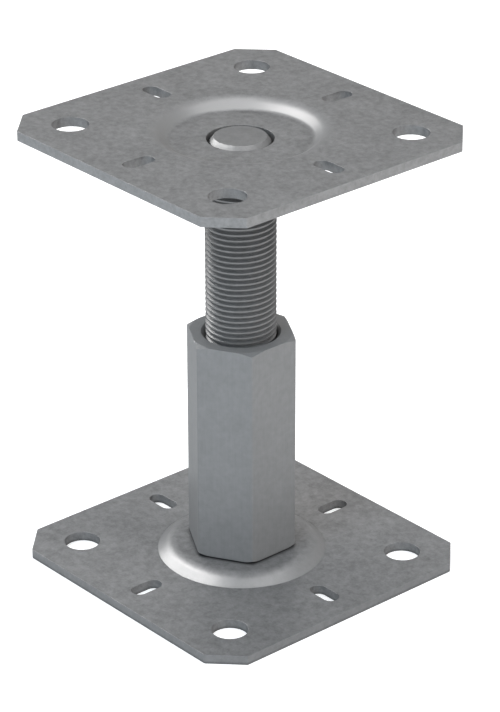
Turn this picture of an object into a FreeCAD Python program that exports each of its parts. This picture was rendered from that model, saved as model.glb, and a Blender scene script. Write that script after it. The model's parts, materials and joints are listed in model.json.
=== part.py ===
import FreeCAD, Part
import math
import os
import Sketcher
from FreeCAD import Rotation, Vector

# Adjustable post base: a pressed base plate, a hexagonal sleeve that turns on it, and a threaded
# rod that carries a second plate of the same pressing, upside down, under the post.
# Millimetres, +Z up. The origin is on the ground, at the centre of the base plate's underside.

# Driving dimensions: alias, size, meaning.
SIZES = [
    ("plate_width", 100.0, "side of each square plate"),
    ("plate_thickness", 3.0, "sheet of both plates"),
    ("corner_clip", 9.0, "leg of the clipped plate corners"),
    ("hole_spacing", 70.0, "centre to centre of the anchor holes"),
    ("hole_diameter", 11.0, "anchor holes"),
    ("slot_centre_distance", 38.0, "plate centre to slot centre"),
    ("slot_length", 10.5, "slots, end to end"),
    ("slot_width", 4.5, "slots, side to side"),
    ("centre_hole_diameter", 20.0, "hole in the middle of each plate"),
    ("dish_diameter", 51.0, "foot of the pressed dish, on its raised side"),
    ("dish_rise", 3.0, "height of the dish over the plate"),
    ("dish_slope", 38.0, "slope of the dish wall, degrees"),
    ("dish_bend_radius", 6.0, "outside of both bends of the dish wall"),
    ("sleeve_across_flats", 30.0, "hexagonal sleeve"),
    ("sleeve_height", 71.0, "dish top to sleeve top"),
    ("sleeve_edge_radius", 0.8, "rounding of the six long edges"),
    ("upper_cone_diameter", 31.2, "where the cone that trims the hexagon's upper corners starts"),
    ("upper_cone_angle", 20.0, "slope of that cone, degrees"),
    ("lower_cone_diameter", 32.6, "where the cone that trims the lower corners starts"),
    ("lower_cone_angle", 30.0, "slope of that cone, degrees"),
    ("thrust_face_diameter", 28.0, "turned face that bears on the dish"),
    ("thrust_face_height", 0.4, "hexagon's clearance over the dish"),
    ("mouth_diameter", 24.0, "countersink at the top of the bore"),
    ("bore_floor_thickness", 3.0, "solid end of the sleeve over the dish"),
    ("drain_diameter", 10.0, "drain hole through the sleeve's end"),
    ("spigot_clearance", 0.05, "spigot to plate hole, on the radius"),
    ("collar_diameter", 26.0, "peened collar under the base plate"),
    ("collar_thickness", 1.6, "peened collar"),
    ("collar_play", 0.1, "collar to plate, along the axis"),
    ("rod_diameter", 21.3, "over the thread"),
    ("rod_length", 84.5, "thread below the top plate's shoulder"),
    ("rod_end_chamfer", 0.75, "lower end of the thread"),
    ("rod_clearance", 0.075, "thread to bore, on the radius"),
    ("stub_clearance", 0.5, "turned stub to plate hole, on the radius"),
    ("stub_rise", 0.75, "stub over the floor of the dish"),
    ("stub_chamfer", 1.7, "upper end of the stub"),
    ("weld_leg", 2.5, "fillet weld under the top plate"),
    ("rest_height", 142.0, "ground to the top plate's upper face, as modelled"),
]

FULL_TURN = 360
PLATE_REPEATS = 4
NEAR = 1e-4

# Derived sizes, each an expression over the sheet.
HALF_PLATE = "Sizes.plate_width / 2"
BEND_SHIFT = "Sizes.plate_thickness * tan(Sizes.dish_slope / 2)"
DISH_RUN = "Sizes.dish_rise / tan(Sizes.dish_slope)"
FOOT_RADIUS = "Sizes.dish_diameter / 2"
SHOULDER_RADIUS = f"{FOOT_RADIUS} - {DISH_RUN}"
LOWER_FOOT_RADIUS = f"{FOOT_RADIUS} - {BEND_SHIFT}"
LOWER_SHOULDER_RADIUS = f"{SHOULDER_RADIUS} - {BEND_SHIFT}"
DISH_TOP = "Sizes.plate_thickness + Sizes.dish_rise"
HOLE_RADIUS = "Sizes.centre_hole_diameter / 2"
ROD_RADIUS = "Sizes.rod_diameter / 2"
BORE_RADIUS = f"{ROD_RADIUS} + Sizes.rod_clearance"
MOUTH_RADIUS = "Sizes.mouth_diameter / 2"
SPIGOT_RADIUS = f"{HOLE_RADIUS} - Sizes.spigot_clearance"
STUB_RADIUS = f"{HOLE_RADIUS} - Sizes.stub_clearance"
STUB_TOP = "Sizes.plate_thickness + Sizes.stub_rise"
COLLAR_RADIUS = "Sizes.collar_diameter / 2"
COLLAR_TOP = "-Sizes.plate_thickness - Sizes.collar_play"
COLLAR_BOTTOM = f"{COLLAR_TOP} - Sizes.collar_thickness"
HEX_CORNER_RADIUS = "Sizes.sleeve_across_flats / (2 * cos(30))"

doc = FreeCAD.newDocument("adjustable_post_base")
sheet = doc.addObject("Spreadsheet::Sheet", "Sizes")
for row, (alias, size, meaning) in enumerate(SIZES, start=1):
    sheet.set(f"A{row}", meaning)
    sheet.set(f"B{row}", str(size))
    sheet.setAlias(f"B{row}", alias)
doc.recompute()


def number(expression):
    """The present value of an expression over the sheet."""
    return float(sheet.evalExpression(expression))


def new_body(name, height):
    """A body whose own origin stands at a height above the ground."""
    body = doc.addObject("PartDesign::Body", name)
    body.Label = name
    body.setExpression("Placement.Base.z", height)
    return body


def origin_item(body, role):
    return next(item for item in body.Origin.OriginFeatures if item.Role == role)


def new_sketch(body, name, plane="XY_Plane"):
    sketch = body.newObject("Sketcher::SketchObject", name)
    sketch.AttachmentSupport = (origin_item(body, plane), "")
    sketch.MapMode = "FlatFace"
    return sketch


def bind(sketch, constraint, name, expression):
    """Add a constraint under a name and tie its value to the sheet."""
    index = sketch.addConstraint(constraint)
    sketch.renameConstraint(index, name)
    sketch.setExpression(f"Constraints.{name}", expression)


def bind_point(sketch, geometry, end, name, across, up):
    """Hold a point of the sketch at a distance across and up from its origin."""
    for kind, axis, expression in (("DistanceX", "x", across), ("DistanceY", "y", up)):
        rule = Sketcher.Constraint(kind, -1, 1, geometry, end, number(expression))
        bind(sketch, rule, f"{name}_{axis}", expression)


def join_ends(sketch, count):
    """Close a run of edges: each ends where the next one starts."""
    for edge in range(count):
        sketch.addConstraint(Sketcher.Constraint("Coincident", edge, 2, (edge + 1) % count, 1))


def corner_profile(body, name, corners):
    """A closed section through the axis: corners are (radius, height) pairs of expressions."""
    sketch = new_sketch(body, name, "XZ_Plane")
    points = [Vector(number(radius), number(height), 0) for radius, height in corners]
    for start, end in zip(points, points[1:] + points[:1]):
        sketch.addGeometry(Part.LineSegment(start, end))
    join_ends(sketch, len(points))
    for index, (radius, height) in enumerate(corners):
        bind_point(sketch, index, 1, f"corner{index}", radius, height)
    return sketch


def turn(body, kind, name, sketch):
    """Revolve a section once about the body's own axis, to add or to cut."""
    feature = body.newObject(f"PartDesign::{kind}", name)
    feature.Profile = sketch
    feature.ReferenceAxis = (sketch, ["V_Axis"])
    feature.Angle = FULL_TURN
    doc.recompute()
    return feature


def edge_names(feature, wanted):
    edges = enumerate(feature.Shape.Edges, start=1)
    return [f"Edge{index}" for index, edge in edges if wanted(edge)]


def ring(radius, height):
    """A test for whole circles about the axis, at one radius and height."""
    centre = Vector(0, 0, number(height))
    size = number(radius)

    def wanted(edge):
        if not isinstance(edge.Curve, Part.Circle):
            return False
        near_centre = edge.Curve.Center.distanceToPoint(centre) < NEAR
        return near_centre and abs(edge.Curve.Radius - size) < NEAR

    return wanted


def round_edges(body, name, wanted, radius):
    base = body.Tip
    fillet = body.newObject("PartDesign::Fillet", name)
    fillet.Base = (base, edge_names(base, wanted))
    fillet.setExpression("Radius", radius)
    doc.recompute()
    return fillet


def square_sketch(body):
    """The plate's square, centred on the origin."""
    sketch = new_sketch(body, "plate_outline")
    half = number(HALF_PLATE)
    points = [Vector(x * half, y * half, 0) for x, y in ((-1, -1), (1, -1), (1, 1), (-1, 1))]
    for start, end in zip(points, points[1:] + points[:1]):
        sketch.addGeometry(Part.LineSegment(start, end))
    join_ends(sketch, len(points))
    for edge, direction in enumerate(("Horizontal", "Vertical", "Horizontal", "Vertical")):
        sketch.addConstraint(Sketcher.Constraint(direction, edge))
    sketch.addConstraint(Sketcher.Constraint("Symmetric", 0, 1, 2, 1, -1, 1))
    width = Sketcher.Constraint("DistanceX", 0, 1, 0, 2, 2 * half)
    bind(sketch, width, "side_x", "Sizes.plate_width")
    height = Sketcher.Constraint("DistanceY", 1, 1, 1, 2, 2 * half)
    bind(sketch, height, "side_y", "Sizes.plate_width")
    return sketch


def circle_sketch(body, name, diameter, across, up):
    sketch = new_sketch(body, name)
    centre = Vector(number(across), number(up), 0)
    sketch.addGeometry(Part.Circle(centre, Vector(0, 0, 1), number(diameter) / 2))
    bind_point(sketch, 0, 3, "centre", across, up)
    bind(sketch, Sketcher.Constraint("Diameter", 0, number(diameter)), "diameter", diameter)
    return sketch


def slot_sketch(body):
    """One slot on the X axis, its length along the radius."""
    sketch = new_sketch(body, "slot")
    middle = number("Sizes.slot_centre_distance")
    end_radius = number("Sizes.slot_width / 2")
    reach = number("(Sizes.slot_length - Sizes.slot_width) / 2")
    up = Vector(0, 0, 1)
    quarter = math.pi / 2
    inner = Part.Circle(Vector(middle - reach, 0, 0), up, end_radius)
    outer = Part.Circle(Vector(middle + reach, 0, 0), up, end_radius)
    sketch.addGeometry(Part.ArcOfCircle(inner, quarter, 3 * quarter))
    sketch.addGeometry(Part.ArcOfCircle(outer, -quarter, quarter))
    for side in (-1, 1):
        start = Vector(middle - reach, side * end_radius, 0)
        end = Vector(middle + reach, side * end_radius, 0)
        sketch.addGeometry(Part.LineSegment(start, end))
    for arc, arc_end, line, line_end in ((0, 2, 2, 1), (1, 1, 2, 2), (0, 1, 3, 1), (1, 2, 3, 2)):
        sketch.addConstraint(Sketcher.Constraint("Tangent", arc, arc_end, line, line_end))
    sketch.addConstraint(Sketcher.Constraint("Equal", 0, 1))
    for arc, name, sign in ((0, "inner", "-"), (1, "outer", "+")):
        sketch.addConstraint(Sketcher.Constraint("PointOnObject", arc, 3, -1))
        place = f"Sizes.slot_centre_distance {sign} (Sizes.slot_length - Sizes.slot_width) / 2"
        rule = Sketcher.Constraint("DistanceX", -1, 1, arc, 3, number(place))
        bind(sketch, rule, f"{name}_centre", place)
    width = Sketcher.Constraint("Radius", 0, end_radius)
    bind(sketch, width, "end_radius", "Sizes.slot_width / 2")
    return sketch


def cut_through(body, name, sketch):
    """Cut a sketch upwards through the whole plate, dish included."""
    pocket = body.newObject("PartDesign::Pocket", name)
    pocket.Profile = sketch
    pocket.Type = "ThroughAll"
    pocket.Midplane = True
    doc.recompute()
    return pocket


def clip_corners(body):
    base = body.Tip
    height = number("Sizes.plate_thickness")

    def upright(edge):
        return abs(edge.BoundBox.ZLength - height) < NEAR

    chamfer = body.newObject("PartDesign::Chamfer", "clipped_corners")
    chamfer.Base = (base, edge_names(base, upright))
    chamfer.setExpression("Size", "Sizes.corner_clip")
    doc.recompute()


def press_dish(body):
    """Raise the dish on top and hollow it from below, so that the sheet keeps its thickness."""
    raised = [("0", "Sizes.plate_thickness"), (FOOT_RADIUS, "Sizes.plate_thickness"),
              (SHOULDER_RADIUS, DISH_TOP), ("0", DISH_TOP)]
    hollow = [("0", "0"), (LOWER_FOOT_RADIUS, "0"),
              (LOWER_SHOULDER_RADIUS, "Sizes.dish_rise"), ("0", "Sizes.dish_rise")]
    turn(body, "Revolution", "raised_dish", corner_profile(body, "raised_dish_section", raised))
    turn(body, "Groove", "dish_hollow", corner_profile(body, "dish_hollow_section", hollow))


def round_dish(body):
    """Round the outside of both bends of the dish wall, where the press stretches the sheet."""
    bends = [("foot_bend", LOWER_FOOT_RADIUS, "0"), ("shoulder_bend", SHOULDER_RADIUS, DISH_TOP)]
    for name, radius, height in bends:
        round_edges(body, name, ring(radius, height), "Sizes.dish_bend_radius")


def repeat_round_axis(body, features):
    pattern = body.newObject("PartDesign::PolarPattern", "holes_and_slots")
    pattern.Originals = features
    pattern.Axis = (origin_item(body, "Z_Axis"), [""])
    pattern.Angle = FULL_TURN
    pattern.Occurrences = PLATE_REPEATS
    body.Tip = pattern
    doc.recompute()


def pressed_plate(name, height):
    """Square plate with clipped corners, four holes, four slots and a dish raised towards +Z."""
    body = new_body(name, height)
    pad = body.newObject("PartDesign::Pad", "sheet")
    pad.Profile = square_sketch(body)
    pad.setExpression("Length", "Sizes.plate_thickness")
    doc.recompute()
    clip_corners(body)
    press_dish(body)
    round_dish(body)
    centre = circle_sketch(body, "centre_hole", "Sizes.centre_hole_diameter", "0", "0")
    cut_through(body, "centre_hole_cut", centre)
    corner = "Sizes.hole_spacing / 2"
    hole = circle_sketch(body, "anchor_hole", "Sizes.hole_diameter", corner, corner)
    hole_cut = cut_through(body, "anchor_hole_cut", hole)
    slot_cut = cut_through(body, "slot_cut", slot_sketch(body))
    repeat_round_axis(body, [hole_cut, slot_cut])
    return body


def hexagon_sketch(body):
    """Regular hexagon with two of its sides square to the X axis."""
    sketch = new_sketch(body, "hexagon")
    corner_radius = number(HEX_CORNER_RADIUS)
    turns = [math.radians(30 + 60 * step) for step in range(-1, 5)]
    points = [Vector(corner_radius * math.cos(a), corner_radius * math.sin(a), 0) for a in turns]
    for start, end in zip(points, points[1:] + points[:1]):
        sketch.addGeometry(Part.LineSegment(start, end))
    join_ends(sketch, len(points))
    circle = sketch.addGeometry(Part.Circle(Vector(0, 0, 0), Vector(0, 0, 1), corner_radius), True)
    sketch.addConstraint(Sketcher.Constraint("Coincident", circle, 3, -1, 1))
    for side in range(len(points)):
        sketch.addConstraint(Sketcher.Constraint("PointOnObject", side, 1, circle))
    for side in range(1, len(points)):
        sketch.addConstraint(Sketcher.Constraint("Equal", 0, side))
    sketch.addConstraint(Sketcher.Constraint("Vertical", 0))
    half = "Sizes.sleeve_across_flats / 2"
    bind(sketch, Sketcher.Constraint("DistanceX", -1, 1, 0, 1, number(half)), "flat", half)
    return sketch


def trim_hexagon_corners(body):
    """Cut the hexagon's corners back to a cone at each end."""
    ends = [("upper", "Sizes.sleeve_height", "-"), ("lower", "Sizes.thrust_face_height", "+")]
    for name, face, inwards in ends:
        start = f"Sizes.{name}_cone_diameter / 2"
        reach = f"({HEX_CORNER_RADIUS} - {start})"
        corner_height = f"{face} {inwards} {reach} * tan(Sizes.{name}_cone_angle)"
        section = [(start, face), (HEX_CORNER_RADIUS, face), (HEX_CORNER_RADIUS, corner_height)]
        sketch = corner_profile(body, f"{name}_corner_section", section)
        turn(body, "Groove", f"{name}_corners", sketch)


def turned_foot(body):
    """Thrust face, spigot through the plate and the collar peened over below it."""
    thrust_radius = "Sizes.thrust_face_diameter / 2"
    section = [
        ("0", "Sizes.thrust_face_height"), (thrust_radius, "Sizes.thrust_face_height"),
        (thrust_radius, "0"), (SPIGOT_RADIUS, "0"),
        (SPIGOT_RADIUS, COLLAR_TOP), (COLLAR_RADIUS, COLLAR_TOP),
        (COLLAR_RADIUS, COLLAR_BOTTOM), ("0", COLLAR_BOTTOM),
    ]
    turn(body, "Revolution", "turned_foot", corner_profile(body, "foot_section", section))


def bore_sleeve(body):
    """Blind bore with a 45 degree mouth, and a drain hole through its floor."""
    mouth_end = f"Sizes.sleeve_height - ({MOUTH_RADIUS} - ({BORE_RADIUS}))"
    drain_radius = "Sizes.drain_diameter / 2"
    section = [
        ("0", "Sizes.sleeve_height"), (MOUTH_RADIUS, "Sizes.sleeve_height"),
        (BORE_RADIUS, mouth_end), (BORE_RADIUS, "Sizes.bore_floor_thickness"),
        (drain_radius, "Sizes.bore_floor_thickness"), (drain_radius, COLLAR_BOTTOM),
        ("0", COLLAR_BOTTOM),
    ]
    turn(body, "Groove", "bore", corner_profile(body, "bore_section", section))


def hexagonal_sleeve(name):
    """The nut that raises and lowers the rod. It stands on the dish and turns in its hole."""
    body = new_body(name, DISH_TOP)
    pad = body.newObject("PartDesign::Pad", "hexagon_bar")
    pad.Profile = hexagon_sketch(body)
    pad.setExpression("Length", "Sizes.sleeve_height - Sizes.thrust_face_height")
    pad.Profile[0].setExpression("AttachmentOffset.Base.z", "Sizes.thrust_face_height")
    doc.recompute()
    bar_length = number("Sizes.sleeve_height - Sizes.thrust_face_height")

    def long_edge(edge):
        return abs(edge.BoundBox.ZLength - bar_length) < NEAR

    round_edges(body, "long_edges", long_edge, "Sizes.sleeve_edge_radius")
    trim_hexagon_corners(body)
    turned_foot(body)
    bore_sleeve(body)
    return body


def threaded_rod(name):
    """Rod over its thread's crests, with a shoulder under the top plate and a stub through it."""
    body = new_body(name, f"Sizes.rest_height - ({DISH_TOP})")
    section = [
        ("0", STUB_TOP), (f"{STUB_RADIUS} - Sizes.stub_chamfer", STUB_TOP),
        (STUB_RADIUS, f"{STUB_TOP} - Sizes.stub_chamfer"), (STUB_RADIUS, "0"),
        (ROD_RADIUS, "0"), (ROD_RADIUS, "Sizes.rod_end_chamfer - Sizes.rod_length"),
        (f"{ROD_RADIUS} - Sizes.rod_end_chamfer", "-Sizes.rod_length"), ("0", "-Sizes.rod_length"),
    ]
    turn(body, "Revolution", "rod", corner_profile(body, "rod_section", section))
    return body


def ring_weld(name):
    """Fillet weld between the rod and the underside of the top plate's dish."""
    body = new_body(name, f"Sizes.rest_height - ({DISH_TOP})")
    section = [(ROD_RADIUS, "0"), (f"{ROD_RADIUS} + Sizes.weld_leg", "0"),
               (ROD_RADIUS, "-Sizes.weld_leg")]
    turn(body, "Revolution", "bead", corner_profile(body, "weld_section", section))
    return body


def check_and_write(bodies):
    """Stop on any failed feature or solid, then write one file for each piece."""
    doc.recompute()
    for item in doc.Objects:
        if "Invalid" in item.State or "Error" in item.State:
            raise RuntimeError(f"{item.Name} failed: {item.State}")
    os.makedirs("parts", exist_ok=True)
    for body in bodies:
        shape = body.Shape
        if shape.isNull() or not shape.isValid() or len(shape.Solids) != 1:
            raise RuntimeError(f"{body.Label} isn't one valid solid")
        print(body.Label, round(shape.Volume, 1), shape.BoundBox)
        shape.exportStep(f"parts/{body.Label}.step")


base_plate = pressed_plate("base_plate", "0")
hex_sleeve = hexagonal_sleeve("hex_sleeve")
rod = threaded_rod("threaded_rod")
rod_weld = ring_weld("rod_weld")
top_plate = pressed_plate("top_plate", "Sizes.rest_height")
top_plate.Placement.Rotation = Rotation(Vector(1, 0, 0), 180)
check_and_write([base_plate, hex_sleeve, rod, rod_weld, top_plate])
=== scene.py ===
import json
import math
import bmesh
import bpy
from mathutils import Matrix, Quaternion, Vector, noise
from mathutils.geometry import delaunay_2d_cdt


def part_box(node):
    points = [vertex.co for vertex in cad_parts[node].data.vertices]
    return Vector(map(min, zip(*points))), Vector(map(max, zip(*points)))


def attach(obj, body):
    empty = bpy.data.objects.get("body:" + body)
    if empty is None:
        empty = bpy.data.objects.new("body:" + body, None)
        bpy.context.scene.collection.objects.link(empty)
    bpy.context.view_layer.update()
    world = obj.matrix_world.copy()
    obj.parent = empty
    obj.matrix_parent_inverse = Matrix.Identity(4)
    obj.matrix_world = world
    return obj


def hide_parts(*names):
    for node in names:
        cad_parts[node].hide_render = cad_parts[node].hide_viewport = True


# Dresses the adjustable post base: two pressed plates, the hexagonal sleeve, the threaded rod
# and the weld that holds the rod, each as a full mesh with rounded edges and a zinc finish.
# Metres, +Z up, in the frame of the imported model. Sections are written in millimetres.
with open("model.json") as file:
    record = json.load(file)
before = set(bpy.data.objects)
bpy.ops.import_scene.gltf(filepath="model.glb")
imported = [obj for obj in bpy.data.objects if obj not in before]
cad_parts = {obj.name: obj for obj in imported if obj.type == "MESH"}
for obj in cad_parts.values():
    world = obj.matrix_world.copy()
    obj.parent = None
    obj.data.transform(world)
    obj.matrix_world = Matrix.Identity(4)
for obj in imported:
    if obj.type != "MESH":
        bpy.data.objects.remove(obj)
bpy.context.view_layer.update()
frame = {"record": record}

MM = 0.001
ROUND = 2 * math.pi
UP = Vector((0, 0, 1))


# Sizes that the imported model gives, in millimetres.
def box_mm(node):
    low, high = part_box(node)
    return low / MM, high / MM


def mount_dims(name):
    return next(m for m in frame["record"]["mounts"] if m["name"] == name)["dims"]


BASE_LOW, BASE_HIGH = box_mm("base_plate")
TOP_LOW, TOP_HIGH = box_mm("top_plate")
SLEEVE_LOW, SLEEVE_HIGH = box_mm("hex_sleeve")
ROD_LOW, ROD_HIGH = box_mm("threaded_rod")
WELD_LOW, WELD_HIGH = box_mm("rod_weld")
PLATE_WIDTH = BASE_HIGH.x - BASE_LOW.x
HOLES = mount_dims("base_holes")
SLOTS = mount_dims("base_slots_x")

# Pressed plates.
SHEET = 3.0
DISH_RISE = BASE_HIGH.z - BASE_LOW.z - SHEET
CORNER_CLIP = 9.0
CLIP_ROUNDING = 0.6
CENTRE_HOLE_RADIUS = 10.0
DISH_FOOT_RADIUS = 25.8
HOLLOW_RIM_RADIUS = 25.3
DISH_SLOPE = math.radians(38)
DISH_SKIRT = 2.0
INNER_BEND = 0.4
HOLLOW_BEND = 2.5
OUTER_BEND = 6.2
SHEARED_EDGE = 0.06
PUNCHED_EDGE = 0.1

# The photograph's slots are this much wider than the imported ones, on each side.
SLOT_MARGIN = 0.3

# Hexagonal sleeve. A cone is the radius where it starts and its slope.
FOOT_HEIGHT = BASE_HIGH.z
ACROSS_FLATS = SLEEVE_HIGH.x * 2
LONG_EDGE_RADIUS = 0.8
UPPER_CONE = (15.6, math.radians(20))
LOWER_CONE = (16.3, math.radians(30))
END_EDGE = 0.12
THRUST_RADIUS = 13.2
THRUST_GAP = 0.4
SPIGOT_RADIUS = 9.95
SPIGOT_EDGE = 0.1
COLLAR_RADIUS = 13.0
COLLAR_TOP = 2.9
COLLAR_CHAMFER = 0.8
COLLAR_BEND = 0.4
COLLAR_EDGE = 0.15
MOUTH_RADIUS = 12.0
MOUTH_EDGE = 0.15
BORE_RADIUS = 10.725
BORE_FLOOR = 3.0
BORE_BEND = 0.3
DRAIN_RADIUS = 5.0
DRAIN_EDGE = 0.2

# Threaded rod. The phase is the height, less whole pitches, where a crest crosses the +X side.
CREST_RADIUS = ROD_HIGH.x
PITCH = 1.75
THREAD_DEPTH = 1.07
CREST_FLAT = 0.5
CREST_SAG = 0.05
FLANK_ROUNDING = 0.1
ROOT_FLAT = 0.26
CREST_PHASE = 0.72
THREAD_END_CHAMFER = 0.75
THREAD_CREASE = math.radians(38)
STUB_RADIUS = 9.0
STUB_CHAMFER_WIDTH = 1.2
STUB_CHAMFER_HEIGHT = 1.5
STUB_EDGE = 0.15

# The stub stands a little off the rod's axis, towards the photograph's camera.
STUB_SHIFT = Vector((0.3, -0.26))

# The rod's weld: its ripples drift in spacing, and its width wanders, each at a scale of its own.
WELD_RIPPLES = 34
WELD_RIPPLE_HEIGHT = 0.09
WELD_DRIFT = 2
WELD_DRIFT_SCALE = 3
WELD_WANDER = 0.35
WELD_WANDER_SCALE = 2
WELD_CROWN = 0.35
WELD_CREASE = math.radians(60)

# Fineness of the meshes.
DISH_STEPS = 192
HOLE_STEPS = 64
ARC_STEP = math.radians(6)
FLAT_STEPS = 15
THREAD_STEPS = 112
SPARE_TURNS = 2
WELD_STEPS = 272
WELD_SECTION_STEPS = 8
SAME_PLACE = 1e-6
CUT_TOLERANCE = 1e-5
FILL_TOLERANCE = 1e-7

# Blender's number for a fill that keeps every triangle.
KEEP_ALL = 0

# The photograph's camera, fitted to the object's edges, in metres, degrees and pixels.
IMAGE_WIDTH = 500
IMAGE_HEIGHT = 712
CAMERA_AZIMUTH = 49.121
CAMERA_ELEVATION = 26.213
CAMERA_ROLL = -0.186
CAMERA_DISTANCE = 0.954979
LOOK_AT_HEIGHT = 0.069689
FOCAL_PIXELS = 3187.18
PRINCIPAL_X = 241.084
PRINCIPAL_Y = 352.244

# Where the zinc is lightened, its tone goes over to an even one, which lies at this share of the way
# from dark to light. The lightening is how far it goes over, and above 1 it goes past it. On the plates
# it is painted light on the edge faces and a painted highlight on the dish slopes; the sleeve's upper
# end is lightened too, its lower end not.
LIGHTENED_TONE = 0.68
BASE_EDGE_PAINTED_LIGHT, BASE_DISH_PAINTED_HIGHLIGHT = 0.4, 0.75
TOP_EDGE_PAINTED_LIGHT, TOP_DISH_PAINTED_HIGHLIGHT = 2.0, 1.0
UPPER_END_LIGHTENING, LOWER_END_LIGHTENING = 0.7, 0.0

# Zinc reflects little more at a glancing angle than face on.
GRAZING_TINT = (0.25, 0.25, 0.25)
MATT_GLOSS = 0.02

# Painted shade in narrow gaps: a surface's colour darkens where another stands closer than this, in
# millimetres.
GAP_REACH = 1.2
THREAD_GAP_REACH = 0.2

# The zinc's patterns, by coordinates in metres: scale, detail and roughness. Weights say how much
# of the tone comes from clouds, mottles, grain and crystals, in this order.
CLOUDS = (90, 2, 0.55)
MOTTLES = (520, 4, 0.55)
GRAIN = (1600, 3, 0.6)
CRYSTAL_SCALE = 330
PATTERN_WEIGHTS = (0.35, 0.9, 0.5, 0.1)
ROUGHNESS_SPREAD = 0.05

# The bump that mottles and grain make, with its height in millimetres and the grain's share.
BUMP_STRENGTH = 0.05
BUMP_HEIGHT = 0.02
GRAIN_IN_BUMP = 0.5

# A Mix node names its sockets alike for numbers and for colours, so they are taken by place.
NUMBER_A, NUMBER_B, NUMBER_MADE = 2, 3, 0
COLOUR_A, COLOUR_B, COLOUR_MADE = 6, 7, 2

# Each node's finish. The grain is even, or drawn out along the bar.
EVEN, DRAWN = (1, 1, 1), (1, 1, 0.06)
FINISHES = {
    # node: name, dark, light, roughness, metallic share, grain, reach of the painted gap shade
    # The two plates are the same pressing, and their tones differ only as painted light: the base plate's
    # are lighter, the top plate's darker.
    "base_plate": ("base_zinc", (0.129, 0.128, 0.128), (0.311, 0.31, 0.31), 0.34, 0.3, EVEN, GAP_REACH),
    "top_plate": ("top_zinc", (0.117, 0.116, 0.115), (0.285, 0.283, 0.282), 0.34, 0.3, EVEN, GAP_REACH),
    "hex_sleeve": ("sleeve_zinc", (0.212,) * 3, (0.28,) * 3, 0.4, 0.22, DRAWN, GAP_REACH),
    "threaded_rod": ("thread_zinc", (0.155,) * 3, (0.24,) * 3, 0.4, 0.55, EVEN, THREAD_GAP_REACH),
    "rod_weld": ("weld_zinc", (0.15, 0.15, 0.152), (0.24, 0.24, 0.242), 0.5, 0.5, EVEN, GAP_REACH),
}

# The studio, in metres: the floor, the white around it, and softboxes by bearing from the camera.
WHITE = (1, 1, 1, 1)
FLOOR_WIDTH = 6.0
FLOOR_DROP = 0.02 * MM
FLOOR_PAINT = (0.8, 0.8, 0.8)
FLOOR_GLOW = 0.62
# Painted shade on the floor's glow in mirrors: where it starts and ends, and its lowest share.
SHADE_START = 0.05
SHADE_END = 0.12
SHADE_SHARE = 0.6
SOFT_LIGHT = (0.98, 0.99, 1.0)
SOFT_LEVEL = 0.55
MATT, GLOSS = "even light", "highlights"
LAMP_DISTANCE = 0.9
LAMPS = [
    # name, bearing, elevation, roll, width, height, power, colour, what it serves
    ("key", -150, 60, 0, 0.4, 0.4, 3.2, (1.0, 0.99, 0.98), MATT),
    ("fill", 66, 32, 0, 0.6, 0.6, 3.3, (1.0, 0.99, 0.98), MATT),
    ("front", -38, 34, 0, 0.6, 0.6, 3.6, (0.68, 0.85, 1.0), MATT),
    ("core", -112, 44, 50, 1.3, 0.24, 8.0, (1.0, 0.99, 0.98), GLOSS),
    ("sheen", -118, 46, 50, 1.3, 0.46, 11.5, (1.0, 0.99, 0.98), GLOSS),
    ("overhead", 70, 80, 0, 0.8, 0.8, 6.4, (1.0, 1.0, 1.0), GLOSS),
]


def polar(angle):
    return Vector((math.cos(angle), math.sin(angle)))


def circle(steps, centre=(0, 0), radius=0.0, into_hole=False):
    """Points of a circle, each with the direction that leaves the material."""
    sign = -1 if into_hole else 1
    directions = [polar(ROUND * step / steps) for step in range(steps)]
    return [(Vector(centre) + d * radius, d * sign) for d in directions]


def rounded_outline(corners, radius):
    """A convex outline, anticlockwise, with its corners rounded: points and outward directions."""
    outline = []
    for before, corner, after in zip(corners[-1:] + corners[:-1], corners, corners[1:] + corners[:1]):
        arriving = (corner - before).normalized()
        leaving = (after - corner).normalized()
        turn = arriving.angle(leaving)
        start = math.atan2(-arriving.x, arriving.y)
        inwards = (leaving - arriving).normalized()
        centre = corner + inwards * radius / math.cos(turn / 2)
        steps = max(2, math.ceil(turn / ARC_STEP))
        for step in range(steps + 1):
            outward = polar(start + turn * step / steps)
            outline.append((centre + outward * radius, outward))
    return outline


def filleted(corners):
    """A section through the wall: (across, height, fillet radius) corners become points.

    Each point has the direction that leaves the material, which lies to the left of the path."""
    places = [Vector(corner[:2]) for corner in corners]
    section = []
    for index, (place, (_, _, radius)) in enumerate(zip(places, corners)):
        arriving = (place - places[index - 1]).normalized() if index else None
        leaving = (places[index + 1] - place).normalized() if index + 1 < len(places) else None
        if arriving is None or leaving is None:
            along = leaving or arriving
            section.append((place, Vector((along.y, -along.x))))
            continue
        turn = -arriving.angle_signed(leaving)
        if not radius:
            section.append((place, Vector((arriving.y, -arriving.x))))
            section.append((place, Vector((leaving.y, -leaving.x))))
            continue
        centre = place + (leaving - arriving).normalized() * radius / math.cos(turn / 2)
        start = math.atan2(-arriving.x, arriving.y)
        side = -1 if turn > 0 else 1
        steps = max(2, math.ceil(abs(turn) / ARC_STEP))
        for step in range(steps + 1):
            outward = polar(start + turn * step / steps)
            section.append((centre - outward * radius * side, outward))
    return section


def same_points(ring, normals):
    """The ring's points with other normals, so that the edge is crisp."""
    return [(index, Vector(normal)) for (index, _), normal in zip(ring, normals)]


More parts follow.
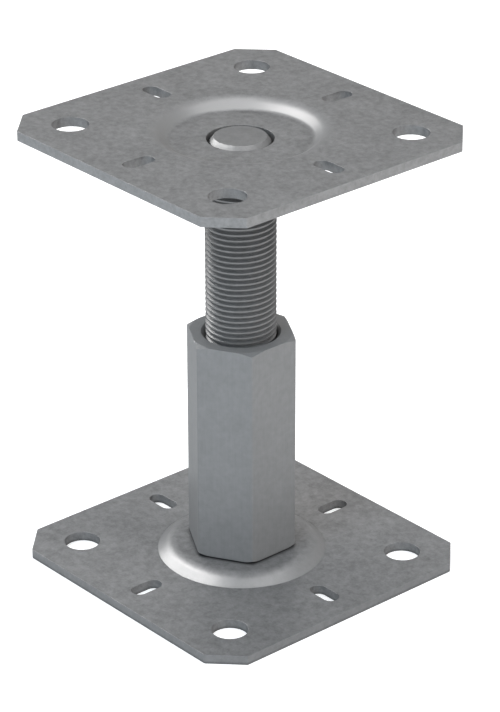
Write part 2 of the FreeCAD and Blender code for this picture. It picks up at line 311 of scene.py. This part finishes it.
class Skin:
    """A closed mesh made of rings of points, with a lightening of the tone for each point and a normal at
    each corner.
    """

    def __init__(self):
        self.points = []
        self.lightening = []
        self.faces = []
        self.corner_normals = []

    def ring(self, places, normals, lightening=0.0):
        first = len(self.points)
        self.points += [Vector(place) for place in places]
        self.lightening += [lightening] * len(places)
        return [(first + index, Vector(normal)) for index, normal in enumerate(normals)]

    def section_rings(self, outline, section, lightening=None):
        """Sweep a section round an outline: one ring for each of its points."""
        rings = []
        for step, (spot, leaving) in enumerate(section):
            normals = [out.to_3d() * leaving.x + UP * leaving.y for _, out in outline]
            if step and (spot - section[step - 1][0]).length < SAME_PLACE:
                rings.append(same_points(rings[-1], normals))
                continue
            places = [(place + out * spot.x).to_3d() + UP * spot.y for place, out in outline]
            rings.append(self.ring(places, normals, lightening[step] if lightening else 0.0))
        for a, b in zip(rings, rings[1:]):
            if a[0][0] != b[0][0]:
                self.band(a, b)
        return rings

    def face(self, corners):
        """Add a face, turned so that it looks the way its normals do."""
        a, b, c = (self.points[index] for index, _ in corners[:3])
        looks = (b - a).cross(c - a)
        if len(corners) == 4:
            looks += (c - a).cross(self.points[corners[3][0]] - a)
        if looks.dot(sum((normal for _, normal in corners), Vector())) < 0:
            corners = corners[::-1]
        self.faces.append([index for index, _ in corners])
        self.corner_normals += [normal.normalized() for _, normal in corners]

    def band(self, a, b):
        count = len(a)
        for k in range(count):
            self.face([a[k], a[(k + 1) % count], b[(k + 1) % count], b[k]])

    def flat(self, outer, holes, normal):
        """Fill between an outer ring and the rings of its holes, all at one height."""
        rings = [outer] + holes
        indices = [index for ring in rings for index, _ in ring]
        spots = [self.points[index].to_2d() for index in indices]
        edges, first = [], 0
        for ring in rings:
            edges += [(first + k, first + (k + 1) % len(ring)) for k in range(len(ring))]
            first += len(ring)
        places, _, triangles, sources, *_ = delaunay_2d_cdt(spots, edges, [], KEEP_ALL, FILL_TOLERANCE)
        outlines = [[self.points[index].to_2d() for index, _ in ring] for ring in rings]
        for triangle in triangles:
            middle = sum((places[k] for k in triangle), Vector((0, 0))) / 3
            inside = [contains(outline, middle) for outline in outlines]
            if inside[0] and not any(inside[1:]):
                self.face([(indices[sources[k][0]], normal) for k in triangle])

    def turn_over(self, height):
        """Turn the mesh over about the X axis, so that its underside comes to a height."""
        self.points = [Vector((point.x, -point.y, height - point.z)) for point in self.points]
        self.corner_normals = [Vector((n.x, -n.y, -n.z)) for n in self.corner_normals]

    def build(self, name):
        mesh = bpy.data.meshes.new(name)
        mesh.from_pydata([point * MM for point in self.points], [], self.faces)
        mesh.shade_smooth()
        lightening = mesh.attributes.new("lightening", "FLOAT", "POINT")
        lightening.data.foreach_set("value", self.lightening)
        mesh.normals_split_custom_set(self.corner_normals)
        return link(name, mesh)


def contains(outline, spot):
    inside = False
    for a, b in zip(outline, outline[1:] + outline[:1]):
        if (a.y > spot.y) != (b.y > spot.y):
            if spot.x < a.x + (spot.y - a.y) * (b.x - a.x) / (b.y - a.y):
                inside = not inside
    return inside


def link(name, data):
    obj = bpy.data.objects.new(name, data)
    bpy.context.scene.collection.objects.link(obj)
    return obj


def dress(piece, body, node):
    """Give the piece its finish and let it stand for a node of a body."""
    piece.data.materials.append(zinc(*FINISHES[node]))
    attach(piece, body)
    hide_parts(node)


# The plates.
def plate_outline():
    half = PLATE_WIDTH / 2
    short = half - CORNER_CLIP
    corners = []
    for quarter in range(4):
        turn = Matrix.Rotation(math.pi / 2 * quarter, 2)
        corners += [turn @ Vector((half, -short)), turn @ Vector((half, short))]
    return rounded_outline(corners, CLIP_ROUNDING)


def slot_outline(direction):
    """A slot with its length along a direction from the plate's centre."""
    centre = direction * SLOTS["spacing_x_mm"] / 2
    end_radius = SLOTS["hole_r_mm"] + SLOT_MARGIN
    reach = SLOTS["slot_length_mm"] / 2 - end_radius
    outline = []
    half = HOLE_STEPS // 2
    start = math.atan2(direction.y, direction.x) - math.pi / 2
    for end in (1, -1):
        for step in range(half + 1):
            out = polar(start + math.pi * step / half) * end
            outline.append((centre + direction * reach * end + out * end_radius, -out))
    return outline


def edge_section(rounding):
    """The sheet's edge, from its top face to its bottom face."""
    return filleted([(-rounding, SHEET, 0), (0, SHEET, rounding), (0, 0, rounding), (-rounding, 0, 0)])


def dish_section():
    """The dish, from its foot on top, in through the centre hole, and out again below."""
    run = DISH_RISE / math.tan(DISH_SLOPE)
    top = SHEET + DISH_RISE
    return filleted([
        (DISH_FOOT_RADIUS + DISH_SKIRT, SHEET, 0),
        (DISH_FOOT_RADIUS, SHEET, INNER_BEND),
        (DISH_FOOT_RADIUS - run, top, OUTER_BEND),
        (CENTRE_HOLE_RADIUS, top, PUNCHED_EDGE),
        (CENTRE_HOLE_RADIUS, DISH_RISE, PUNCHED_EDGE),
        (HOLLOW_RIM_RADIUS - run, DISH_RISE, HOLLOW_BEND),
        (HOLLOW_RIM_RADIUS, 0, OUTER_BEND),
        (DISH_FOOT_RADIUS + DISH_SKIRT, 0, 0),
    ])


def painted_slope_highlight(section, amount):
    """Painted highlight: the dish's slopes get a lighter tone, the more the steeper they are."""
    lightening = []
    for spot, leaving in section:
        steepness = min(1.0, abs(leaving.x) / math.sin(DISH_SLOPE))
        lightening.append(amount * steepness if spot.x > CENTRE_HOLE_RADIUS + PUNCHED_EDGE else 0.0)
    return lightening


def pressed_plate(name, edge_painted_light, dish_painted_highlight, flipped_at=None):
    """A plate standing on the ground with its dish raised, or turned over under a height."""
    skin = Skin()
    holes = [circle(DISH_STEPS)]
    sections = [dish_section()]
    for quarter in range(4):
        out = polar(math.pi / 2 * quarter)
        corner = polar(math.pi / 4 + math.pi / 2 * quarter) * HOLES["spacing_x_mm"] / math.sqrt(2)
        holes += [slot_outline(out), circle(HOLE_STEPS, corner, HOLES["hole_r_mm"], True)]
        sections += [edge_section(PUNCHED_EDGE)] * 2
    edge = edge_section(SHEARED_EDGE)
    # Painted light: the edge faces get a lighter tone, standing in for the light they catch.
    lightening = [edge_painted_light * abs(leaving.x) for _, leaving in edge]
    outer = skin.section_rings(plate_outline(), edge, lightening)
    painted_highlights = [painted_slope_highlight(sections[0], dish_painted_highlight)] + [None] * (len(holes) - 1)
    inner = [skin.section_rings(*parts) for parts in zip(holes, sections, painted_highlights)]
    skin.flat(outer[0], [rings[0] for rings in inner], UP)
    skin.flat(outer[-1], [rings[-1] for rings in inner], -UP)
    if flipped_at:
        skin.turn_over(flipped_at)
    return skin.build(name)


# The sleeve.
def hexagon_outline():
    """The hexagon's section, with points along its flats as well as round its corners."""
    corner_radius = ACROSS_FLATS / 2 / math.cos(math.pi / 6)
    corners = [polar(math.radians(30 + 60 * k)) * corner_radius for k in range(6)]
    rounded = rounded_outline(corners, LONG_EDGE_RADIUS)
    outline = []
    for (place, out), (next_place, next_out) in zip(rounded, rounded[1:] + rounded[:1]):
        outline.append((place, out))
        if (out - next_out).length < SAME_PLACE:
            for step in range(1, FLAT_STEPS):
                outline.append((place.lerp(next_place, step / FLAT_STEPS), out))
    return outline


def trimmed_end(skin, outline, end, facing, lightening, cone_start, cone_slope):
    """The rings of the wall's end and of the end face's edge, over the cone that trims the corners.

    The end faces up, as 1, or down, as -1."""
    wall, wall_normals, face, face_normals = [], [], [], []
    axis = UP * facing
    for place, out in outline:
        radius = place.length
        excess = max(0.0, radius - cone_start)
        drop = excess * math.tan(cone_slope) + END_EDGE
        wall.append(place.to_3d() + UP * (end - facing * drop))
        reach = (min(radius, cone_start) - END_EDGE) / radius
        face.append((place * reach).to_3d() + UP * end)
        cone = place.normalized().to_3d() * math.sin(cone_slope) + axis * math.cos(cone_slope)
        share = min(1.0, excess / END_EDGE)
        wall_normals.append(out.to_3d().lerp(cone, share))
        face_normals.append(axis.lerp(cone, share))
    wall_ring = skin.ring(wall, wall_normals, lightening)
    face_ring = skin.ring(face, face_normals, lightening)
    skin.band(wall_ring, face_ring)
    return wall_ring, face_ring


def hexagonal_sleeve(name):
    skin = Skin()
    outline = hexagon_outline()
    sides = [out.to_3d() for _, out in outline]
    top = SLEEVE_HIGH.z
    hex_bottom = FOOT_HEIGHT + THRUST_GAP
    upper_wall, upper_face = trimmed_end(skin, outline, top, 1, UPPER_END_LIGHTENING, *UPPER_CONE)
    lower_wall, lower_face = trimmed_end(skin, outline, hex_bottom, -1, LOWER_END_LIGHTENING, *LOWER_CONE)
    flats = [skin.ring([skin.points[i] + UP * shift for i, _ in ring], sides)
             for ring, shift in ((upper_wall, -END_EDGE), (lower_wall, END_EDGE))]
    skin.band(same_points(upper_wall, sides), flats[0])
    skin.band(flats[0], flats[1])
    skin.band(flats[1], same_points(lower_wall, sides))
    about = [(Vector((0, 0)), place.normalized()) for place, _ in outline]
    collar_bottom = SLEEVE_LOW.z
    mouth_end = top - (MOUTH_RADIUS - BORE_RADIUS)
    floor = FOOT_HEIGHT + BORE_FLOOR
    inside = skin.section_rings(about, filleted([
        (MOUTH_RADIUS + 2 * END_EDGE, top, 0), (MOUTH_RADIUS, top, MOUTH_EDGE),
        (BORE_RADIUS, mouth_end, BORE_BEND), (BORE_RADIUS, floor, BORE_BEND),
        (DRAIN_RADIUS, floor, BORE_BEND), (DRAIN_RADIUS, collar_bottom, DRAIN_EDGE),
        (COLLAR_RADIUS - COLLAR_CHAMFER, collar_bottom, COLLAR_BEND),
        (COLLAR_RADIUS, collar_bottom + COLLAR_CHAMFER, COLLAR_BEND),
        (COLLAR_RADIUS, COLLAR_TOP, COLLAR_EDGE), (SPIGOT_RADIUS, COLLAR_TOP, SPIGOT_EDGE),
        (SPIGOT_RADIUS, FOOT_HEIGHT, SPIGOT_EDGE), (THRUST_RADIUS, FOOT_HEIGHT, SPIGOT_EDGE),
        (THRUST_RADIUS, hex_bottom, 0), (THRUST_RADIUS + END_EDGE, hex_bottom, 0),
    ]))
    ups = [UP] * len(outline)
    downs = [-UP] * len(outline)
    skin.band(same_points(upper_face, ups), same_points(inside[0], ups))
    skin.band(same_points(lower_face, downs), same_points(inside[-1], downs))
    return skin.build(name)


# The rod.
def thread_profile():
    """One pitch of the thread from the middle of a crest: (height, depth below the crest)."""
    crest = CREST_FLAT / 2
    root = PITCH / 2 - ROOT_FLAT / 2
    slope = THREAD_DEPTH / (root - crest)
    rising = [(crest, CREST_SAG), (crest + FLANK_ROUNDING, slope * FLANK_ROUNDING),
              (root - FLANK_ROUNDING, THREAD_DEPTH - slope * FLANK_ROUNDING),
              (root, THREAD_DEPTH - CREST_SAG)]
    falling = [(PITCH - height, depth) for height, depth in reversed(rising)]
    return [(0.0, 0.0)] + rising + [(PITCH / 2, THREAD_DEPTH)] + falling


def thread_grid(mesh, low, high):
    """A right-handed thread, chamfered at its foot, from below one height to above another."""
    profile = thread_profile()
    pitch_rows = len(profile)
    first_turn = math.floor((low - CREST_PHASE) / PITCH) - SPARE_TURNS
    turns = math.ceil((high - low) / PITCH) + 2 * SPARE_TURNS
    grid = []
    for row in range(turns * pitch_rows):
        turn, point = divmod(row, pitch_rows)
        height, depth = profile[point]
        start = CREST_PHASE + (first_turn + turn) * PITCH + height
        verts = []
        for step in range(THREAD_STEPS):
            level = start + PITCH * step / THREAD_STEPS
            chamfered = CREST_RADIUS - THREAD_END_CHAMFER + max(0.0, level - low)
            spot = polar(ROUND * step / THREAD_STEPS) * min(CREST_RADIUS - depth, chamfered)
            verts.append(mesh.verts.new((spot.x, spot.y, level)))
        grid.append(verts)
    for row in range(len(grid) - pitch_rows - 1):
        for step in range(THREAD_STEPS):
            if step + 1 < THREAD_STEPS:
                lower, upper = grid[row][step + 1], grid[row + 1][step + 1]
            else:
                lower, upper = grid[row + pitch_rows][0], grid[row + pitch_rows + 1][0]
            mesh.faces.new([grid[row][step], lower, upper, grid[row + 1][step]])


def cut_square(mesh, height, towards):
    """Cut away what lies past a height, upwards, as 1, or downwards, as -1. Gives the cut's edges."""
    everything = mesh.verts[:] + mesh.edges[:] + mesh.faces[:]
    cut = bmesh.ops.bisect_plane(mesh, geom=everything, dist=CUT_TOLERANCE, plane_co=(0, 0, height),
                                 plane_no=(0, 0, towards), clear_outer=True)
    return [item for item in cut["geom_cut"] if isinstance(item, bmesh.types.BMEdge)]


def bands(mesh, rings):
    for a, b in zip(rings, rings[1:]):
        for k in range(len(a)):
            after = (k + 1) % len(a)
            mesh.faces.new([a[k], a[after], b[after], b[k]])


def closed_piece(mesh, name, crease):
    """Turn a mesh in millimetres into a piece, with the edges above an angle kept crisp."""
    bmesh.ops.recalc_face_normals(mesh, faces=mesh.faces[:])
    bmesh.ops.scale(mesh, vec=(MM, MM, MM), verts=mesh.verts[:])
    data = bpy.data.meshes.new(name)
    mesh.to_mesh(data)
    mesh.free()
    data.shade_smooth()
    data.set_sharp_from_angle(angle=crease)
    return link(name, data)


def threaded_rod(name):
    """The thread, cut off square at both ends, with the turned stub on top of it."""
    low, shoulder, top = ROD_LOW.z, TOP_LOW.z, ROD_HIGH.z
    mesh = bmesh.new()
    thread_grid(mesh, low, shoulder)
    lower_edges = cut_square(mesh, low, -1)
    upper_edges = cut_square(mesh, shoulder, 1)
    bmesh.ops.edgeloop_fill(mesh, edges=lower_edges)
    stub = filleted([
        (STUB_RADIUS, shoulder, 0), (STUB_RADIUS, top - STUB_CHAMFER_HEIGHT, STUB_EDGE),
        (STUB_RADIUS - STUB_CHAMFER_WIDTH, top, STUB_EDGE), (0, top, 0),
    ])
    rings = []
    for spot, _ in stub[:-1]:
        places = [STUB_SHIFT + polar(ROUND * step / DISH_STEPS) * spot.x for step in range(DISH_STEPS)]
        rings.append([mesh.verts.new((place.x, place.y, spot.y)) for place in places])
    bands(mesh, rings)
    mesh.faces.new(rings[-1])
    foot = [mesh.edges.get((a, b)) for a, b in zip(rings[0], rings[0][1:] + rings[0][:1])]
    bmesh.ops.triangle_fill(mesh, edges=upper_edges + foot, use_beauty=True)
    return closed_piece(mesh, name, THREAD_CREASE)


def weld_bead(name):
    """A fillet weld with the scalloped ripples that the torch leaves."""
    inner, outer = CREST_RADIUS - THREAD_DEPTH / 2, WELD_HIGH.x
    low, top = WELD_LOW.z, WELD_HIGH.z
    mesh = bmesh.new()
    rings = []
    for step in range(WELD_STEPS):
        angle = ROUND * step / WELD_STEPS
        out = polar(angle)
        drift = noise.noise(out.to_3d() * WELD_DRIFT_SCALE) * WELD_DRIFT
        ripple = WELD_RIPPLE_HEIGHT * (math.sin(WELD_RIPPLES * angle + drift) - 1)
        swell = ripple + WELD_WANDER * (noise.noise(out.to_3d() * WELD_WANDER_SCALE) - 1) / 2
        ring = [mesh.verts.new((out.x * inner, out.y * inner, top))]
        for k in range(WELD_SECTION_STEPS + 1):
            share = k / WELD_SECTION_STEPS
            bulge = math.sin(math.pi * share) * WELD_CROWN
            across = inner + (outer - inner + swell) * share + bulge
            height = low - swell + (top - low + swell) * share - bulge
            spot = out * min(across, outer)
            ring.append(mesh.verts.new((spot.x, spot.y, max(height, low))))
        rings.append(ring)
    bands(mesh, rings + rings[:1])
    return closed_piece(mesh, name, WELD_CREASE)


# Finishes.
def add_node(tree, kind, **settings):
    node = tree.nodes.new(kind)
    for key, value in settings.items():
        setattr(node, key, value)
    return node


def calculated(tree, operation, *values):
    """What a Math node makes of values, each of them a socket or a number."""
    node = add_node(tree, "ShaderNodeMath", operation=operation)
    for value, socket in zip(values, node.inputs):
        if isinstance(value, bpy.types.NodeSocket):
            tree.links.new(value, socket)
        else:
            socket.default_value = value
    return node.outputs[0]


def noise_texture(tree, coordinates, scale, detail, roughness):
    texture = add_node(tree, "ShaderNodeTexNoise")
    texture.inputs["Scale"].default_value = scale
    texture.inputs["Detail"].default_value = detail
    texture.inputs["Roughness"].default_value = roughness
    tree.links.new(coordinates, texture.inputs["Vector"])
    return texture.outputs["Fac"]


def weighted_sum(tree, values, weights, total=0.0):
    """A starting total, and weight * value for each value."""
    for value, weight in zip(values, weights):
        total = calculated(tree, "MULTIPLY_ADD", value, weight, total)
    return total


def zinc(name, dark, light, roughness, metallic, grain, gap_reach):
    """Galvanised steel: clouds, mottling, a fine grain and faint crystals, lighter where the mesh's
    lightening says, which on the plates is painted light and painted highlights, and darkened by painted
    shade in narrow gaps.
    """
    material = bpy.data.materials.new(name)
    material.use_nodes = True
    tree = material.node_tree
    links = tree.links
    shader = tree.nodes["Principled BSDF"]
    shader.inputs["Metallic"].default_value = metallic
    shader.inputs["Specular IOR Level"].default_value = MATT_GLOSS
    shader.inputs["Specular Tint"].default_value = (*GRAZING_TINT, 1)

    coordinates = add_node(tree, "ShaderNodeTexCoord").outputs["Object"]
    stretched = add_node(tree, "ShaderNodeMapping")
    stretched.inputs["Scale"].default_value = grain
    links.new(coordinates, stretched.inputs["Vector"])
    clouds = noise_texture(tree, coordinates, *CLOUDS)
    mottles = noise_texture(tree, coordinates, *MOTTLES)
    lines = noise_texture(tree, stretched.outputs["Vector"], *GRAIN)
    crystals = add_node(tree, "ShaderNodeTexVoronoi")
    crystals.inputs["Scale"].default_value = CRYSTAL_SCALE
    links.new(coordinates, crystals.inputs["Vector"])
    crystal = add_node(tree, "ShaderNodeSeparateColor")
    links.new(crystals.outputs["Color"], crystal.inputs["Color"])
    patterns = (clouds, mottles, lines, crystal.outputs["Red"])
    tone = weighted_sum(tree, patterns, PATTERN_WEIGHTS, (1 - sum(PATTERN_WEIGHTS)) / 2)

    # The tone goes over towards an even, lighter one by the mesh's lightening: on the plates this is
    # painted light on the edges and a painted highlight on the dish slopes.
    lightened = add_node(tree, "ShaderNodeMix", clamp_factor=False)
    lightened.inputs[NUMBER_B].default_value = LIGHTENED_TONE
    lightening = add_node(tree, "ShaderNodeAttribute", attribute_name="lightening")
    links.new(lightening.outputs["Fac"], lightened.inputs["Factor"])
    links.new(tone, lightened.inputs[NUMBER_A])
    colour = add_node(tree, "ShaderNodeMix", data_type="RGBA")
    colour.inputs[COLOUR_A].default_value = (*dark, 1)
    colour.inputs[COLOUR_B].default_value = (*light, 1)
    links.new(lightened.outputs[NUMBER_MADE], colour.inputs["Factor"])
    # Painted shade: ambient occlusion darkens the colour where another surface stands near, in gaps and
    # grooves.
    painted_gap_shade = add_node(tree, "ShaderNodeAmbientOcclusion")
    painted_gap_shade.inputs["Distance"].default_value = gap_reach * MM
    links.new(colour.outputs[COLOUR_MADE], painted_gap_shade.inputs["Color"])
    links.new(painted_gap_shade.outputs["Color"], shader.inputs["Base Color"])

    gloss = calculated(tree, "MULTIPLY_ADD", tone, ROUGHNESS_SPREAD, roughness - ROUGHNESS_SPREAD / 2)
    links.new(gloss, shader.inputs["Roughness"])
    bump = add_node(tree, "ShaderNodeBump")
    bump.inputs["Strength"].default_value = BUMP_STRENGTH
    bump.inputs["Distance"].default_value = BUMP_HEIGHT * MM
    links.new(weighted_sum(tree, (mottles, lines), (1.0, GRAIN_IN_BUMP)), bump.inputs["Height"])
    links.new(bump.outputs["Normal"], shader.inputs["Normal"])
    return material


# The studio.
def seen_directly(tree, mirrored_share=1.0):
    """1 for what the camera sees straight or through glass, the share for what is mirrored, else 0."""
    path = add_node(tree, "ShaderNodeLightPath")
    mirrored = calculated(tree, "MULTIPLY", path.outputs["Is Glossy Ray"], mirrored_share)
    seen = calculated(tree, "MAXIMUM", path.outputs["Is Camera Ray"], mirrored)
    return calculated(tree, "MAXIMUM", seen, path.outputs["Is Transmission Ray"])


def painted_floor_shade(tree):
    """Painted shade on the floor's glow, seen in mirrors: a low share beside the base plate, and 1 further
    out.
    """
    distance = add_node(tree, "ShaderNodeVectorMath", operation="LENGTH")
    tree.links.new(add_node(tree, "ShaderNodeTexCoord").outputs["Object"], distance.inputs[0])
    share = add_node(tree, "ShaderNodeMapRange", interpolation_type="SMOOTHSTEP")
    share.inputs["From Min"].default_value = SHADE_START
    share.inputs["From Max"].default_value = SHADE_END
    share.inputs["To Min"].default_value = SHADE_SHARE
    tree.links.new(distance.outputs["Value"], share.inputs["Value"])
    return share.outputs["Result"]


def white_surroundings():
    world = bpy.data.worlds.new("studio")
    bpy.context.scene.world = world
    world.use_nodes = True
    tree = world.node_tree
    soft = tree.nodes["Background"]
    soft.inputs["Color"].default_value = (*SOFT_LIGHT, 1)
    soft.inputs["Strength"].default_value = SOFT_LEVEL
    white = add_node(tree, "ShaderNodeBackground")
    white.inputs["Color"].default_value = WHITE
    white.inputs["Strength"].default_value = 1
    mix = add_node(tree, "ShaderNodeMixShader")
    for source, socket in zip((seen_directly(tree), soft.outputs[0], white.outputs[0]), mix.inputs):
        tree.links.new(source, socket)
    tree.links.new(mix.outputs[0], tree.nodes["World Output"].inputs["Surface"])


def pale_floor():
    """A floor just under the ground, so that the base plate's face doesn't coincide with it."""
    mesh = bpy.data.meshes.new("floor")
    half = FLOOR_WIDTH / 2
    corners = [(-half, -half, 0), (half, -half, 0), (half, half, 0), (-half, half, 0)]
    mesh.from_pydata(corners, [], [(0, 1, 2, 3)])
    floor = link("floor", mesh)
    floor.location.z = -FLOOR_DROP
    material = bpy.data.materials.new("floor_white")
    material.use_nodes = True
    tree = material.node_tree
    tree.nodes.remove(tree.nodes["Principled BSDF"])
    paint = add_node(tree, "ShaderNodeBsdfDiffuse")
    paint.inputs["Color"].default_value = (*FLOOR_PAINT, 1)
    glow = add_node(tree, "ShaderNodeEmission")
    glow.inputs["Color"].default_value = WHITE
    # The floor glows white; in mirrors its glow is lowered beside the base plate, as painted shade.
    level = calculated(tree, "MULTIPLY", seen_directly(tree, painted_floor_shade(tree)), FLOOR_GLOW)
    tree.links.new(level, glow.inputs["Strength"])
    both = add_node(tree, "ShaderNodeAddShader")
    tree.links.new(paint.outputs[0], both.inputs[0])
    tree.links.new(glow.outputs[0], both.inputs[1])
    tree.links.new(both.outputs[0], tree.nodes["Material Output"].inputs["Surface"])
    mesh.materials.append(material)


def camera_axes():
    """Right, up and backwards of the photograph's camera, before its roll."""
    azimuth, elevation = math.radians(CAMERA_AZIMUTH), math.radians(CAMERA_ELEVATION)
    level = Vector((math.sin(azimuth), -math.cos(azimuth), 0))
    back = level * math.cos(elevation) + UP * math.sin(elevation)
    right = Vector((math.cos(azimuth), math.sin(azimuth), 0))
    return right, back.cross(right), back


def photograph_camera():
    right, up, back = camera_axes()
    roll = math.radians(CAMERA_ROLL)
    across = right * math.cos(roll) + up * math.sin(roll)
    upright = up * math.cos(roll) - right * math.sin(roll)
    data = bpy.data.cameras.new("camera")
    data.lens = FOCAL_PIXELS / IMAGE_HEIGHT * data.sensor_width
    data.shift_x = (IMAGE_WIDTH / 2 - PRINCIPAL_X) / IMAGE_HEIGHT
    data.shift_y = (PRINCIPAL_Y - IMAGE_HEIGHT / 2) / IMAGE_HEIGHT
    camera = link("camera", data)
    place = UP * LOOK_AT_HEIGHT + back * CAMERA_DISTANCE
    camera.matrix_world = Matrix.Translation(place) @ Matrix((across, upright, back)).transposed().to_4x4()
    bpy.context.scene.camera = camera


def softbox(name, bearing, elevation, roll, width, height, power, colour, serves):
    """An area lamp aimed at the object, placed by its bearing from the camera, anticlockwise from above."""
    turn = math.radians(CAMERA_AZIMUTH - 90 + bearing)
    rise = math.radians(elevation)
    direction = polar(turn).to_3d() * math.cos(rise) + UP * math.sin(rise)
    data = bpy.data.lights.new(name, "AREA")
    data.shape = "RECTANGLE"
    data.size, data.size_y = width, height
    data.energy = power
    data.color = colour
    lamp = link(name, data)
    lamp.location = direction * LAMP_DISTANCE + UP * LOOK_AT_HEIGHT
    lamp.visible_diffuse = serves == MATT
    lamp.visible_glossy = serves == GLOSS
    lamp.rotation_mode = "QUATERNION"
    lamp.rotation_quaternion = direction.to_track_quat("Z", "Y") @ Quaternion(UP, math.radians(roll))


# Each plate carries painted light on its edge faces and a painted highlight on its dish slopes.
dress(pressed_plate("pressed_base_plate", BASE_EDGE_PAINTED_LIGHT, BASE_DISH_PAINTED_HIGHLIGHT), "base", "base_plate")
dress(pressed_plate("pressed_top_plate", TOP_EDGE_PAINTED_LIGHT, TOP_DISH_PAINTED_HIGHLIGHT, TOP_HIGH.z), "carriage", "top_plate")
dress(hexagonal_sleeve("hexagonal_sleeve"), "sleeve", "hex_sleeve")
dress(threaded_rod("screw_rod"), "carriage", "threaded_rod")
dress(weld_bead("weld_bead"), "carriage", "rod_weld")

white_surroundings()
pale_floor()
for lamp in LAMPS:
    softbox(*lamp)
photograph_camera()
bpy.context.scene.view_settings.view_transform = "Standard"
